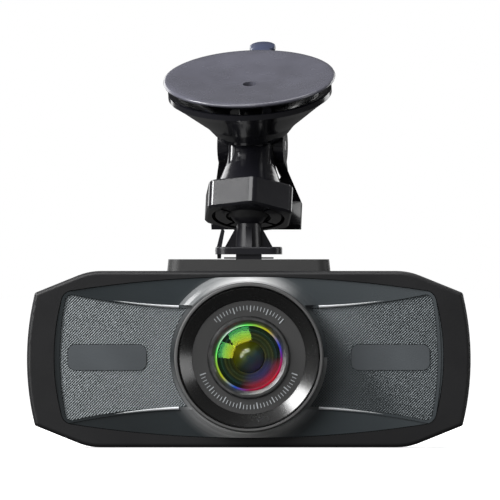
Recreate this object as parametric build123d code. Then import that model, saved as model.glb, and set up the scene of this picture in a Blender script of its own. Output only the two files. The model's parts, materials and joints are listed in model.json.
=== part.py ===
from build123d import *
from math import cos, radians, sin, sqrt, tan
import os

# Dash camera: a wide case with a big front lens and a rear screen, hung from a
# suction mount by a ball joint. Lengths in mm. The origin is the middle of the
# flat underside, +Z up, the lens looks along -Y, the screen is at +Y.

os.makedirs("parts", exist_ok=True)

# ---------------------------------------------------------------- dimensions
# case
case_w = 110.0  # across the bulged ends
case_h = 43.7
case_depth = 27.0
end_bulge = 2.0  # how far each end swells beyond its corners
corner_drop = 5.4  # height from a corner up to the top face
shoulder_slope = 22.0  # degrees
shoulder_r = 15.0
corner_r = 0.8
case_front = -case_depth / 2
case_back = case_depth / 2
mid_z = case_h / 2
wall = 1.8
front_edge_r = 1.0
back_edge_r = 2.0
gap = 0.15  # between fixed neighbours
seal = 0.05  # between round parts that are pressed or screwed together

# front panel
panel_z = mid_z + 0.45  # height of the panel's middle and of the lens
panel_w = case_w - 13.6
panel_corner_w = panel_w - 4.8
panel_h = case_h - 3.9
panel_corner_h = panel_h - 7.5
panel_corner_r = 2.8
pocket_depth = 1.5
panel_proud = 0.3  # how far the panel stays behind the case's front rim
floor_t = 1.6
bezel_r = 18.5
flare_r = bezel_r + 3.1
flare_rise = 2.6
ridge_w = 0.7
ridge_rise = 0.25

# textured wings
wing_outer_half_h = panel_corner_h / 2 - 0.25
wing_mid_half_h = wing_outer_half_h - 2.6
wing_inner_half_h = wing_outer_half_h - 3.7
wing_lens_r = bezel_r + 0.9
wing_outer_x = panel_corner_w / 2 - 0.6
wing_inner_x = wing_lens_r - 5.4
wing_mid_x = (wing_inner_x + wing_outer_x) / 2 + 0.4
wing_span = wing_outer_x - wing_lens_r
wing_depth = 0.45
badge_w = wing_span * 0.752
badge_h = 6.3
badge_r = 1.8
badge_x = wing_lens_r + wing_span * 0.6085
badge_t = 0.6

# lens, heights measured forward from the origin plane
lens_base = -case_front
bezel_front = lens_base + 6.8
bezel_inner_r = bezel_r - 0.85
dish_r = bezel_inner_r - 0.25
dish_inner_r = dish_r - 3.3
dish_front = lens_base + 6.4
dish_floor = lens_base + 4.2
scale_front = lens_base + 3.9
barrel_r = 9.0
scale_inner_r = barrel_r + 1.2
lock_ring_front = lens_base + 4.8
lock_ring_hole_r = barrel_r - 0.65
barrel_rear_r = 6.0
barrel_rear = lens_base - 7.9
glass_r = barrel_r - 0.45
glass_edge_front = lens_base + 3.4
glass_apex = lens_base + 6.2
glass_back = lens_base + 2.1
inner_dome_r = 3.85
lens_seat = lens_base + 1.7

# boards, heights measured along +Y
sensor_board_y = case_front + 10.3
sensor_board_t = 1.0
sensor_board_w = 30.0
sensor_size = (9.0, 7.0, 0.9)
filter_t = 0.3
main_board_y = sensor_board_y + 4.2
main_board_t = 1.2
main_board_back = main_board_y + main_board_t
main_board_w = case_w - 26.0
main_board_h = case_h - 9.7
main_ear_w = case_w - 9.0
main_ear_h = case_h - 22.3
board_screw_x = case_w / 2 - 17.0
board_screw_z = main_board_h / 2 - 3.2
board_post_r = 2.2
board_pilot_r = 0.6
case_split = main_board_y + 3.0
case_screw_x = case_w / 2 - 7.5
case_screw_z = mid_z - 8.2
case_boss_r = 2.6
case_pilot_r = 0.8
screw_well = 2.2
chips_x = 7.0 - board_screw_x  # left edge of the processor

# screen and keys
screen_w = case_w - 45.4
screen_h = case_h - 6.1
screen_t = 2.6
bracket_t = 0.4
pane_w = screen_w - 1.0
pane_h = screen_h - 0.8
pane_t = 0.9
pane_r = 1.5
key_x = case_w / 2 - 15.4
key_pitch = (case_h - 11.3) / 3
key_w = 9.0
key_h = 5.0
key_r = 1.4
key_proud = 0.5
key_gap = 0.2
key_seat = 0.9  # room between the wall and a key's shoulder, its back stop included
key_board_t = 1.0
guide_r = 0.8
battery_w = case_w - 68.0
battery_h = case_h - 13.7

# ports in the ends
usb_size = (9.2, 3.9, 7.7)
usb_z = -5.85
hdmi_size = (7.6, 3.4, 11.2)
hdmi_z = 4.9
card_size = (14.5, 1.9, 14.0)
port_gap = 0.25
port_recess = 0.3
end_wall_x = case_w / 2 - 2.0
cell_x = end_wall_x - port_recess - card_size[0] - 6.2

# sound
speaker_x = 26.5 - case_w / 2
speaker_y = -6.0
speaker_w = 15.0
speaker_l = 7.0
mic_x = case_w / 2 - 27.0

# plinth with its T-slot on the case top
mount_y = 2.0
plinth_w = 39.9
plinth_h = 2.9
plinth_front = mount_y - 10.0
plinth_back = mount_y + 10.0
plinth_end_r = 3.0
slot_floor_t = 0.6
slot_lip_t = 1.1
slide_gap = 0.12
web_w = 6.4
flange_w = 12.3
flange_t = 0.9
flange_l = 13.0
plinth_screw_x = plinth_w / 2 - 4.95
plinth_screw_depth = 1.3
deck = case_h + plinth_h

# foot and ball stud
foot_w = 16.6
foot_l = 14.0
foot_r = 3.0
foot_bottom = deck + 1.2
foot_top = foot_bottom + 1.9
shoe_t = 0.4
ball_z = foot_top + 10.0
ball_r = 5.2
stem_neck_r = 2.9
fin_base_r = 5.9
fin_t = 1.5
latch_x = 0.95 - foot_w / 2
latch_w = 4.6
latch_top = foot_top + 4.5
latch_pin_r = 0.45

# ball clamp; distances along the neck's own axis from the ball's centre
mount_yaw = -8.0
neck_lean = 19.0
cup_lean = -19.3
ball_film = 0.1
liner_t = 0.35
socket_r = ball_r + 2 * (ball_film + liner_t) + gap
mouth_angle = 64.0  # from the ball's centre line down to the clamp's lip
collet_r = socket_r + 2.75
nut_fit = 0.05
nut_flats = 2 * collet_r + 3.0
nut_edge_r = 2.2
nut_phase = 12.0  # degrees the tightened nut stands round from the neck
nut_bottom = 2.24 - ball_r
nut_top = ball_r - 0.86
neck_shoulder = ball_r - 0.7
neck_w = 11.0
neck_l = 9.5
elbow = ball_r + 13.1

# suction cup; distances along the cup's own axis from the elbow
pivot_u = -2.3
knuckle_r = 5.4
pin_r = 1.2
pin_fit = 0.05
ear_gap = 0.25
ear_t = 2.5
ear_r = 4.6
housing_r = 20.35
housing_rim = 12.5
stem_r = 3.0
stem_travel = 2.0
stem_end_t = 0.8  # material left below the stem's slot
bowl_back = 4.2  # floor of the bowl
hub_r = 7.5
pad_r = housing_r + 1.05
pad_rim = housing_rim + 3.3
pad_edge_t = 1.0
pad_dish = 1.8
pad_hole_r = 1.7
pad_seat = housing_rim - 0.1  # underside of the pad's hub, on the stem's head
tab_reach = pad_r + 7.1
tab_t = 1.4
tab_neck_w = 4.8
tab_head_w = 6.5
paddle_half_w = 11.2
paddle_t = 2.2
lever_open = 60.0

lens_frame = Location((0, 0, panel_z)) * Location((0, 0, 0), (90, 0, 0))
ball_frame = Location((0, mount_y, ball_z))
neck_frame = ball_frame * Location((0, 0, 0), (0, 0, mount_yaw)) * Location((0, 0, 0), (-neck_lean, 0, 0))
cup_frame = neck_frame * Location((0, 0, elbow)) * Location((0, 0, 0), (neck_lean - cup_lean, 0, 0))
pivot_frame = cup_frame * Location((0, 0, pivot_u))


# ------------------------------------------------------------------- helpers
def turned(outline):
    """Solid of revolution about Z from (radius, height) points."""
    return revolve(make_face(Polyline(*[(r, 0, h) for r, h in outline], close=True)), Axis.Z)


def slab(face, y0, y1):
    """Extrude an outline drawn in X and Z from depth y0 back to depth y1."""
    return Pos(0, y1, 0) * extrude(Plane.XZ * face, y1 - y0)


def block(x, y, z):
    """Axis-aligned box from three (low, high) pairs."""
    size = [pair[1] - pair[0] for pair in (x, y, z)]
    return Pos(*[(pair[0] + pair[1]) / 2 for pair in (x, y, z)]) * Box(*size)


def rod_y(r, y0, y1, x, z):
    """Round bar along Y."""
    return Pos(x, (y0 + y1) / 2, z) * Rot(90, 0, 0) * Cylinder(r, y1 - y0)


def rod_z(r, z0, z1, x, y):
    """Round bar along Z."""
    return Pos(x, y, (z0 + z1) / 2) * Cylinder(r, z1 - z0)


def rod_x(r, x0, x1, y, z):
    """Round bar along X."""
    return Pos((x0 + x1) / 2, y, z) * Rot(0, 90, 0) * Cylinder(r, x1 - x0)


def shell_zone(r_in, r_out, angle_from, angle_to):
    """Part of a thick spherical shell between two angles from the -Z direction."""
    angles = [angle_from + (angle_to - angle_from) * i / 2 for i in range(3)]
    inner = [(r_in * sin(radians(a)), 0, -r_in * cos(radians(a))) for a in angles]
    outer = [(r_out * sin(radians(a)), 0, -r_out * cos(radians(a))) for a in angles]
    edges = [
        ThreePointArc(*inner),
        Line(inner[2], outer[2]),
        ThreePointArc(*outer),
        Line(outer[0], inner[0]),
    ]
    return revolve(make_face(edges), Axis.Z)


def save(shape, name):
    """Write one named piece."""
    shape = Compound(children=list(shape.solids())) if len(shape.solids()) > 1 else shape.solids()[0]
    export_step(shape, os.path.join("parts", name + ".step"))


# ---------------------------------------------------------------------- case
def case_outline():
    """Front view of the case: flat top and bottom, sloping shoulders, bulged ends."""
    corner_x = case_w / 2 - end_bulge
    flat_x = corner_x - corner_drop / tan(radians(shoulder_slope))
    high = case_h - corner_drop
    top = [(-corner_x, high), (-flat_x, case_h), (flat_x, case_h), (corner_x, high)]
    bottom = [(corner_x, corner_drop), (flat_x, 0), (-flat_x, 0), (-corner_x, corner_drop)]
    edges = [
        Polyline(*top),
        ThreePointArc((corner_x, high), (case_w / 2, mid_z), (corner_x, corner_drop)),
        Polyline(*bottom),
        ThreePointArc((-corner_x, corner_drop), (-case_w / 2, mid_z), (-corner_x, high)),
    ]
    face = make_face(edges)
    bends = [v for v in face.vertices() if abs(abs(v.X) - flat_x) < 0.01]
    face = fillet(bends, shoulder_r)
    ends = [v for v in face.vertices() if abs(abs(v.X) - corner_x) < 0.01]
    return fillet(ends, corner_r)


def panel_outline(grow=0.0):
    """Front view of the panel: arched top and bottom, bowed ends, round corners."""
    x = panel_corner_w / 2 + grow
    z = panel_corner_h / 2 + grow
    crown = panel_h / 2 + grow
    end = panel_w / 2 + grow
    edges = [
        ThreePointArc((-x, z), (0, crown), (x, z)),
        ThreePointArc((x, z), (end, 0), (x, -z)),
        ThreePointArc((x, -z), (0, -crown), (-x, -z)),
        ThreePointArc((-x, -z), (-end, 0), (-x, z)),
    ]
    face = make_face(edges)
    return Pos(0, panel_z) * fillet(face.vertices(), panel_corner_r + grow)


def wing_outline(side, grow=0.0):
    """Front view of one textured wing, between two curved borders and the lens."""
    outer = wing_outer_x + grow
    edges = []
    for s in (1, -1):
        ends = [
            (side * wing_inner_x, s * (wing_inner_half_h + grow)),
            (side * wing_mid_x, s * (wing_mid_half_h + grow)),
            (side * outer, s * (wing_outer_half_h + grow)),
        ]
        edges.append(ThreePointArc(*ends))
    tall = wing_outer_half_h + grow
    bow = outer + (panel_w - panel_corner_w) / 2 * 0.7
    edges.append(ThreePointArc((side * outer, tall), (side * bow, 0), (side * outer, -tall)))
    inner = wing_inner_half_h + grow
    edges.append(Line((side * wing_inner_x, inner), (side * wing_inner_x, -inner)))
    face = make_face(edges)
    far = [v for v in face.vertices() if abs(v.X) > wing_mid_x]
    face = fillet(far, panel_corner_r * 0.6)
    return Pos(0, panel_z) * (face - Circle(wing_lens_r - grow))


def badge_outline(side, grow=0.0):
    """Front view of one plain name-plate."""
    plate = RectangleRounded(badge_w + 2 * grow, badge_h + 2 * grow, badge_r + grow)
    return Pos(side * badge_x, panel_z) * plate


def corners(x, z):
    """Four places mirrored about the case's middle."""
    return [(sx * x, mid_z + sz * z) for sx in (-1, 1) for sz in (-1, 1)]


floor_y = case_front + pocket_depth
cavity_y = floor_y + floor_t
inner_back = case_back - wall


def front_shell():
    """Front half of the case: panel pocket, lens opening, bosses and port openings."""
    outline = case_outline()
    body = slab(outline, case_front, case_split)
    rim = body.faces().sort_by(Axis.Y)[0].outer_wire().edges()
    body = fillet(rim, front_edge_r)
    body -= slab(offset(outline, -wall), cavity_y, case_split)
    body -= slab(panel_outline(gap), case_front, floor_y)
    body -= rod_y(barrel_r + 4 * gap, floor_y, cavity_y, 0, panel_z)
    for x, z in corners(case_screw_x, case_screw_z):
        body += rod_y(case_boss_r, cavity_y, case_split, x, z)
        body -= rod_y(case_pilot_r, cavity_y + 1, case_split, x, z)
    for x, z in corners(board_screw_x, board_screw_z):
        body += rod_y(board_post_r, cavity_y, main_board_y, x, z)
        body -= rod_y(board_pilot_r, cavity_y + 1, main_board_y, x, z)
    for x0, x1, size, z in port_places():
        y0 = main_board_y - size[1] - port_gap
        z0 = mid_z + z - size[2] / 2 - port_gap
        body -= block((x0, x1), (y0, main_board_y + port_gap), (z0, z0 + size[2] + 2 * port_gap))
    for i in range(-2, 3):
        x = speaker_x + 2 * i - 0.5
        body -= block((x - 0.4, x + 0.4), (speaker_y - 3, speaker_y + 3), (0, wall))
    body -= rod_z(0.6, 0, wall, mic_x, speaker_y)
    return body


def port_places():
    """X span of the wall to open, port size and height for each port."""
    reach = case_w / 2 + 1
    inside = end_wall_x - 3
    left = (-reach, -inside)
    right = (inside, reach)
    card_slot = (card_size[0], card_size[1] - 0.9, card_size[2] - 2)
    return [
        (*left, usb_size, usb_z),
        (*left, hdmi_size, hdmi_z),
        (*right, card_slot, 0.0),
    ]


def rear_shell():
    """Rear half of the case: screen opening, key openings, screw wells."""
    outline = case_outline()
    body = slab(outline, case_split, case_back)
    rim = body.faces().sort_by(Axis.Y)[-1].outer_wire().edges()
    body = fillet(rim, back_edge_r)
    body -= slab(offset(outline, -wall), case_split, inner_back)
    pane = RectangleRounded(pane_w + 2 * gap, pane_h + 2 * gap, pane_r)
    body -= slab(Pos(0, mid_z) * pane, case_back - pane_t - 0.1, case_back)
    view = RectangleRounded(pane_w - 3, pane_h - 3, pane_r)
    body -= slab(Pos(0, mid_z) * view, inner_back, case_back)
    for x, z in key_places():
        hole = RectangleRounded(key_w + 2 * key_gap, key_h + 2 * key_gap, key_r + key_gap)
        body -= slab(Pos(x, z) * hole, inner_back, case_back)
    for x, z in corners(case_screw_x, case_screw_z):
        body += rod_y(case_boss_r, case_split, inner_back, x, z)
        body -= rod_y(case_pilot_r + 0.35, case_split, case_back, x, z)
        body -= rod_y(case_boss_r - 0.5, case_back - screw_well, case_back, x, z)
    for x, z in board_posts():
        body += rod_y(1.5, key_board_y + key_board_t, inner_back, x, z)
    for x, z in light_places():
        body -= rod_y(guide_r + seal, inner_back, case_back, x, z)
    return body


def key_places():
    """Centres of the six keys, three on each side of the screen."""
    return [(s * key_x, mid_z + row * key_pitch) for s in (-1, 1) for row in (1, 0, -1)]


def board_posts():
    """Centres of the posts that hold the key boards."""
    return [(s * key_x, mid_z + t * key_pitch / 2) for s in (-1, 1) for t in (-1, 1)]


def light_places():
    """Centres of the two light guides above the upper left key."""
    return [(-key_x + s * 1.8, mid_z + key_pitch + 5.6) for s in (-1, 1)]


def fascia_panel():
    """Panel with a flared lens surround, two wing recesses and their raised borders."""
    front = case_front + panel_proud
    body = slab(panel_outline(), front, floor_y)
    flare = turned([
        (bezel_r, -floor_y),
        (bezel_r, -front + flare_rise),
        (bezel_r + 0.5, -front + flare_rise),
        (bezel_r + 1.3, -front + 1.3),
        (bezel_r + 2.2, -front + 0.5),
        (flare_r, -front),
        (flare_r, -floor_y),
    ])
    body += (lens_frame * flare) & slab(panel_outline(), -30, floor_y)
    for side in (-1, 1):
        outside = wing_outline(side, ridge_w)
        body -= slab(outside, -30, front)
        body += slab(outside, front - ridge_rise, floor_y) & slab(panel_outline(), -30, floor_y)
        body -= slab(wing_outline(side), -30, front + wing_depth)
    body -= rod_y(bezel_r + 0.1, -30, floor_y, 0, panel_z)
    return body


def wing_inlay(side):
    """Thin textured plate with an opening for the name-plate."""
    front = case_front + panel_proud
    return slab(wing_outline(side, -0.05) - badge_outline(side, 0.08), front, front + wing_depth)


def badge(side):
    """Blank name-plate set in the wing."""
    back = case_front + panel_proud + wing_depth
    return slab(badge_outline(side), back - badge_t, back)


# ---------------------------------------------------------------------- lens
def lens_bezel():
    """Outer lens ring: a cup with a thin bright lip, cored out behind."""
    back = -floor_y
    return lens_frame * turned([
        (bezel_r, back),
        (bezel_r, bezel_front - 0.6),
        (bezel_r - 0.35, bezel_front),
        (bezel_inner_r + 0.1, bezel_front),
        (bezel_inner_r, bezel_front - 0.4),
        (bezel_inner_r, lens_seat),
        (barrel_r + seal, lens_seat),
        (barrel_r + seal, back),
        (barrel_r + 2.0, back),
        (barrel_r + 2.0, back + 1.6),
        (bezel_r - 2.0, back + 1.6),
        (bezel_r - 2.0, back),
    ])


def lens_dish():
    """Glossy ring that slopes in towards the lens."""
    return lens_frame * turned([
        (dish_r, lens_seat),
        (dish_r, dish_front - 0.2),
        (dish_r - 0.3, dish_front),
        (dish_inner_r + 0.25, dish_floor),
        (dish_inner_r, dish_floor - 0.2),
        (dish_inner_r, lens_seat),
    ])


def lens_scale_ring():
    """Flat ring that carries plain index marks."""
    r0 = scale_inner_r + 0.05
    r1 = dish_inner_r - 0.05
    ring = turned([(r1, lens_seat), (r1, scale_front), (r0, scale_front + 0.15), (r0, lens_seat)])
    return lens_frame * ring


def lens_lock_ring():
    """Threaded ring that holds the front glass in the barrel."""
    return lens_frame * turned([
        (scale_inner_r - 0.05, lens_seat + 0.1),
        (scale_inner_r - 0.05, lock_ring_front - 0.4),
        (scale_inner_r - 0.4, lock_ring_front),
        (scale_inner_r - 0.95, lock_ring_front),
        (lock_ring_hole_r, glass_edge_front + 0.35),
        (lock_ring_hole_r, glass_edge_front + 0.25),
        (barrel_r + seal, glass_edge_front + 0.25),
        (barrel_r + seal, lens_seat + 0.1),
    ])


def lens_barrel():
    """Stepped barrel: a wide head for the front glass and a narrow threaded tail."""
    head = -floor_y + 0.2
    step = lens_base - 1.5
    outer = [
        (barrel_r, glass_edge_front + 0.2),
        (barrel_r, head),
        (barrel_rear_r, head),
        (barrel_rear_r, barrel_rear),
        (inner_dome_r + seal, barrel_rear),
    ]
    inner = [(inner_dome_r + seal, step - 0.2)]
    for i in range(4):
        h = step + 0.9 * i
        r = inner_dome_r + 0.9 + 0.9 * i
        inner += [(r, h), (r, h + 0.75)]
    inner += [(r, glass_back), (glass_r + seal, glass_back), (glass_r + seal, glass_edge_front + 0.2)]
    return lens_frame * turned(outer + inner)


def dome(r, edge, apex, back, hollow=0.0):
    """Lens element along Z: curved front, cylindrical edge, flat or hollow back."""
    rise = apex - edge
    curve = (r * r + rise * rise) / (2 * rise)
    mid = r * 0.55
    mid_h = apex - (curve - sqrt(curve * curve - mid * mid))
    edges = [
        ThreePointArc((0, 0, apex), (mid, 0, mid_h), (r, 0, edge)),
        Line((r, 0, edge), (r, 0, back)),
    ]
    if hollow:
        lip = r * 0.84
        top = (back + hollow)
        curve = (lip * lip + hollow * hollow) / (2 * hollow)
        mid = lip * 0.55
        mid_h = top - (curve - sqrt(curve * curve - mid * mid))
        edges += [
            Line((r, 0, back), (lip, 0, back)),
            ThreePointArc((lip, 0, back), (mid, 0, mid_h), (0, 0, top)),
            Line((0, 0, top), (0, 0, apex)),
        ]
    else:
        edges += [Line((r, 0, back), (0, 0, back)), Line((0, 0, back), (0, 0, apex))]
    return lens_frame * revolve(make_face(edges), Axis.Z)


def front_lens():
    """Large domed front element."""
    return dome(glass_r, glass_edge_front, glass_apex, glass_back, 2.2)


def inner_lens():
    """Small strongly curved element seen deep in the barrel."""
    return dome(inner_dome_r, lens_base - 2.1, lens_base + 0.1, lens_base - 3.9)


def rear_lens():
    """Last element before the sensor."""
    return dome(inner_dome_r, lens_base - 5.5, lens_base - 4.5, lens_base - 6.9)


def lens_holder():
    """Threaded tube on a square foot, standing on the sensor board."""
    foot = -sensor_board_y
    top = lens_base - 2.5
    outer = barrel_rear_r + 1.6
    hole = sensor_size[0] + 1.6
    tube = turned([(outer, foot), (outer, top), (barrel_rear_r + seal, top), (barrel_rear_r + seal, foot)])
    base = Pos(0, 0, foot + 1) * (Box(18, 18, 2) - Box(hole, hole, 2))
    return lens_frame * (tube + base - Pos(0, 0, foot + 0.6) * Box(hole, hole, 1.2))


def image_sensor():
    """Bare image chip in its package."""
    foot = -sensor_board_y
    return lens_frame * (Pos(0, 0, foot + sensor_size[2] / 2) * Box(*sensor_size))


def ir_filter():
    """Small filter glass glued over the sensor."""
    foot = -sensor_board_y
    return lens_frame * (Pos(0, 0, foot + sensor_size[2] + filter_t / 2) * Box(8, 6.4, filter_t))


# --------------------------------------------------------------- electronics
def sensor_board():
    """Small square board behind the lens."""
    half = sensor_board_w / 2
    y1 = sensor_board_y + sensor_board_t
    return block((-half, half), (sensor_board_y, y1), (panel_z - half, panel_z + half))


def board_connector():
    """Plug between the sensor board and the main board."""
    z = panel_z - 11.3
    return block((-10, 10), (sensor_board_y + sensor_board_t, main_board_y), (z - 2, z + 2))


def main_board():
    """Main board with a wide middle that carries the ports, and four screw holes."""
    outline = Rectangle(main_board_w, main_board_h) + Rectangle(main_ear_w, main_ear_h)
    board = slab(Pos(0, mid_z) * outline, main_board_y, main_board_back)
    for x, z in corners(board_screw_x, board_screw_z):
        board -= rod_y(1.1, main_board_y, main_board_back, x, z)
    return board


def screw(head_r, head_t, shank_r, length):
    """Pan-head screw along Z: head above zero, shank below, with a cross recess."""
    body = Pos(0, 0, head_t / 2) * Cylinder(head_r, head_t)
    body = chamfer(body.edges().group_by(Axis.Z)[-1], head_t * 0.3)
    body += Pos(0, 0, -length / 2) * Cylinder(shank_r, length)
    for turn in (0, 90):
        body -= Pos(0, 0, head_t) * Rot(0, 0, turn) * Box(head_r * 1.2, head_r * 0.3, head_t)
    return body


def screw_set(places, y, head_r, head_t, shank_r, length):
    """The same screw at several places, heads towards +Y."""
    one = Rot(-90, 0, 0) * screw(head_r, head_t, shank_r, length)
    return Compound(children=[(Pos(x, y, z) * one).solids()[0] for x, z in places])


def case_screws():
    """Four screws that close the case from behind."""
    seat = case_back - screw_well
    shank = seat - case_split + 3.7
    return screw_set(corners(case_screw_x, case_screw_z), seat, 1.9, 1.3, case_pilot_r - seal, shank)


def board_screws():
    """Four screws that hold the main board."""
    places = corners(board_screw_x, board_screw_z)
    return screw_set(places, main_board_back, 1.7, 0.8, board_pilot_r - seal, 5.0)


def processor():
    """Main chip, on the battery side of the board."""
    return block((chips_x, chips_x + 7), (main_board_back, main_board_back + 1.1), (mid_z - 2, mid_z + 5))


def memory_chips():
    """Memory packages next to the main chip and on the front side."""
    back = (main_board_back, main_board_back + 1.0)
    front = (main_board_y - 1.1, main_board_y)
    one = block((chips_x, chips_x + 7), back, (mid_z + 8, mid_z + 13))
    two = block((cell_x - 14, cell_x - 3), front, (mid_z + 2, mid_z + 11))
    return Compound(children=[one.solids()[0], two.solids()[0]])


def power_coils():
    """Power inductors on the front side of the board."""
    y = (main_board_y - 2.2, main_board_y)
    size = 4.2
    places = [(1, 1), (0, 1), (1, 0)]
    coils = []
    for column, row in places:
        x = chips_x + 1 + 6 * column
        z = mid_z + 1 + 7 * row
        coils.append(block((x, x + size), y, (z, z + size)).solids()[0])
    return Compound(children=coils)


def memory_cell():
    """Coin cell that keeps the clock, on the front side of the board."""
    return rod_y(4.6, main_board_y - 2.6, main_board_y, cell_x, mid_z - 4)


def battery():
    """Flat cell between the main board and the screen."""
    y = (main_board_back + 1.4, screen_y - bracket_t - 0.45)
    x = battery_w / 2
    z = battery_h / 2
    body = block((-x, x), y, (mid_z - z, mid_z + z))
    return fillet(body.edges().filter_by(Axis.Z), 1.6)


def port(size, x_mouth, side, z, mouth_y, mouth_z):
    """Metal port shell along X on the board's front face, hollow at its mouth."""
    length, tall, wide = size
    x0, x1 = sorted((x_mouth, x_mouth - side * length))
    low = mid_z + z - wide / 2
    body = block((x0, x1), (main_board_y - tall, main_board_y), (low, low + wide))
    m0, m1 = sorted((x_mouth, x_mouth - side * (length - 1.5)))
    my = main_board_y - tall / 2
    mz = mid_z + z
    body -= block((m0, m1), (my - mouth_y / 2, my + mouth_y / 2), (mz - mouth_z / 2, mz + mouth_z / 2))
    tongue_t = min(0.7, mouth_y * 0.35)
    body += block((min(x0, x1) + 0.8, max(x0, x1) - 0.8), (my - tongue_t / 2, my + tongue_t / 2),
                  (mz - mouth_z / 2 + 0.9, mz + mouth_z / 2 - 0.9))
    return body


def usb_port():
    """Small power and data socket in the left end."""
    return port(usb_size, port_recess - end_wall_x, -1, usb_z, 3.1, 6.9)


def hdmi_port():
    """Small video socket in the left end."""
    return port(hdmi_size, port_recess - end_wall_x, -1, hdmi_z, 2.5, 10.4)


def card_socket():
    """Flat card socket in the right end, open towards the wall."""
    length, tall, wide = card_size
    x1 = end_wall_x - port_recess
    low = mid_z - wide / 2
    body = block((x1 - length, x1), (main_board_y - tall, main_board_y), (low, low + wide))
    y1 = main_board_y - 0.35
    body -= block((x1 - length + 1.5, x1), (y1 - 1.1, y1), (low + 1.3, low + wide - 1.3))
    return body


def speaker():
    """Small flat speaker over the slots in the underside."""
    x = (speaker_x - speaker_w / 2, speaker_x + speaker_w / 2)
    y = (speaker_y - speaker_l / 2, speaker_y + speaker_l / 2)
    return block(x, y, (wall, wall + 3.2))


def microphone():
    """Capsule over its pin-hole in the underside."""
    return rod_z(2.0, wall, wall + 1.5, mic_x, speaker_y)


screen_y = inner_back - 0.05 - screen_t


def screen_module():
    """Display module right behind the rear wall."""
    return block((-screen_w / 2, screen_w / 2), (screen_y, screen_y + screen_t),
                 (mid_z - screen_h / 2, mid_z + screen_h / 2))


def screen_bracket():
    """Sheet-metal frame behind the display, with two windows."""
    w = screen_w / 2
    h = screen_h / 2
    y1 = screen_y
    frame = block((-w, w), (y1 - bracket_t, y1), (mid_z - h, mid_z + h))
    for s in (-1, 1):
        frame -= block(sorted((s * 2.5, s * (w - 4))), (y1 - bracket_t, y1), (mid_z - h + 4, mid_z + h - 4))
    return frame


def screen_pane():
    """Clear window glued into the rear shell."""
    pane = Pos(0, mid_z) * RectangleRounded(pane_w, pane_h, pane_r - gap)
    return slab(pane, case_back - pane_t, case_back - 0.05)


def screen_ribbon():
    """Flat cable from the main board up to the display, folded at both ends."""
    y0 = main_board_back
    y1 = screen_y - bracket_t
    low = mid_z - battery_h / 2 - 0.5
    t = 0.15
    x = (-battery_w / 2 - 12, -battery_w / 2 - 2.5)
    body = block(x, (y0, y0 + t), (low, low + 3))
    body += block(x, (y0, y1), (low + 3 - t, low + 3))
    body += block(x, (y1 - t, y1), (low + 3 - t, low + 6))
    return body


key_shoulder_y = inner_back - 0.3
key_foot_y = inner_back - key_seat
switch_h = 1.2
key_board_y = key_foot_y - 0.42 - switch_h - key_board_t


def key(place):
    """One key: a rounded cap through the wall with a wider shoulder inside."""
    x, z = place
    cap = RectangleRounded(key_w, key_h, key_r)
    body = slab(Pos(x, z) * cap, key_foot_y, case_back + key_proud)
    body = chamfer(body.faces().sort_by(Axis.Y)[-1].edges(), 0.25)
    shoulder = RectangleRounded(key_w + 1.4, key_h + 1.4, key_r)
    return body + slab(Pos(x, z) * shoulder, key_foot_y, key_shoulder_y)


def key_boards():
    """Two narrow boards that carry the switches under the keys."""
    half = key_pitch * 1.5 + 0.4
    y = (key_board_y, key_board_y + key_board_t)
    boards = [
        block(sorted((s * (key_x - 5.4), s * (key_x + 5.0))), y, (mid_z - half, mid_z + half))
        for s in (-1, 1)
    ]
    return Compound(children=[b.solids()[0] for b in boards])


def key_switches():
    """Tact switches with short plungers, one under each key."""
    y = key_board_y + key_board_t
    out = []
    for x, z in key_places():
        one = block((x - 2.2, x + 2.2), (y, y + switch_h - 0.3), (z - 2.2, z + 2.2))
        one += rod_y(1.2, y + switch_h - 0.3, y + switch_h, x, z)
        out.append(one.solids()[0])
    return Compound(children=out)


def status_lights():
    """Two light guides above the upper left key."""
    return Compound(children=[
        rod_y(guide_r, inner_back - 1.2, case_back, x, z).solids()[0] for x, z in light_places()
    ])


# -------------------------------------------------------------------- plinth
lip_bottom = deck - slot_lip_t
flange_top = lip_bottom - slide_gap
shoe_bottom = deck + slide_gap


def mount_plinth():
    """Plinth on the case top with a T-slot that is open to the rear."""
    depth = plinth_back - plinth_front
    y = (plinth_front + plinth_back) / 2
    base = Pos(0, y, case_h) * RectangleRounded(plinth_w + 0.6, depth, plinth_end_r)
    top = Pos(0, y, deck) * RectangleRounded(plinth_w, depth - 0.6, plinth_end_r)
    body = loft([base, top])
    front = mount_y - flange_l / 2 - 0.5
    half = web_w / 2 + 0.2
    wide = flange_w / 2 + 0.2
    body -= block((-half, half), (front, plinth_back), (lip_bottom - 0.1, deck))
    body -= block((-wide, wide), (front, plinth_back), (case_h + slot_floor_t, lip_bottom))
    body -= block((latch_x - 1.0, latch_x + 1.0), (mount_y - 3, mount_y + 3), (deck - 0.7, deck))
    for x in (-plinth_screw_x, plinth_screw_x):
        body -= rod_z(1.0, case_h, deck, x, mount_y)
        body -= rod_z(1.9, deck - plinth_screw_depth, deck, x, mount_y)
    return body


def plinth_screws():
    """Two small screws that fix the plinth."""
    one = screw(1.75, 1.0, 0.9, plinth_h - 1.5)
    places = [(s * plinth_screw_x, mount_y, deck - plinth_screw_depth) for s in (-1, 1)]
    return Compound(children=[(Pos(*p) * one).solids()[0] for p in places])


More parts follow.
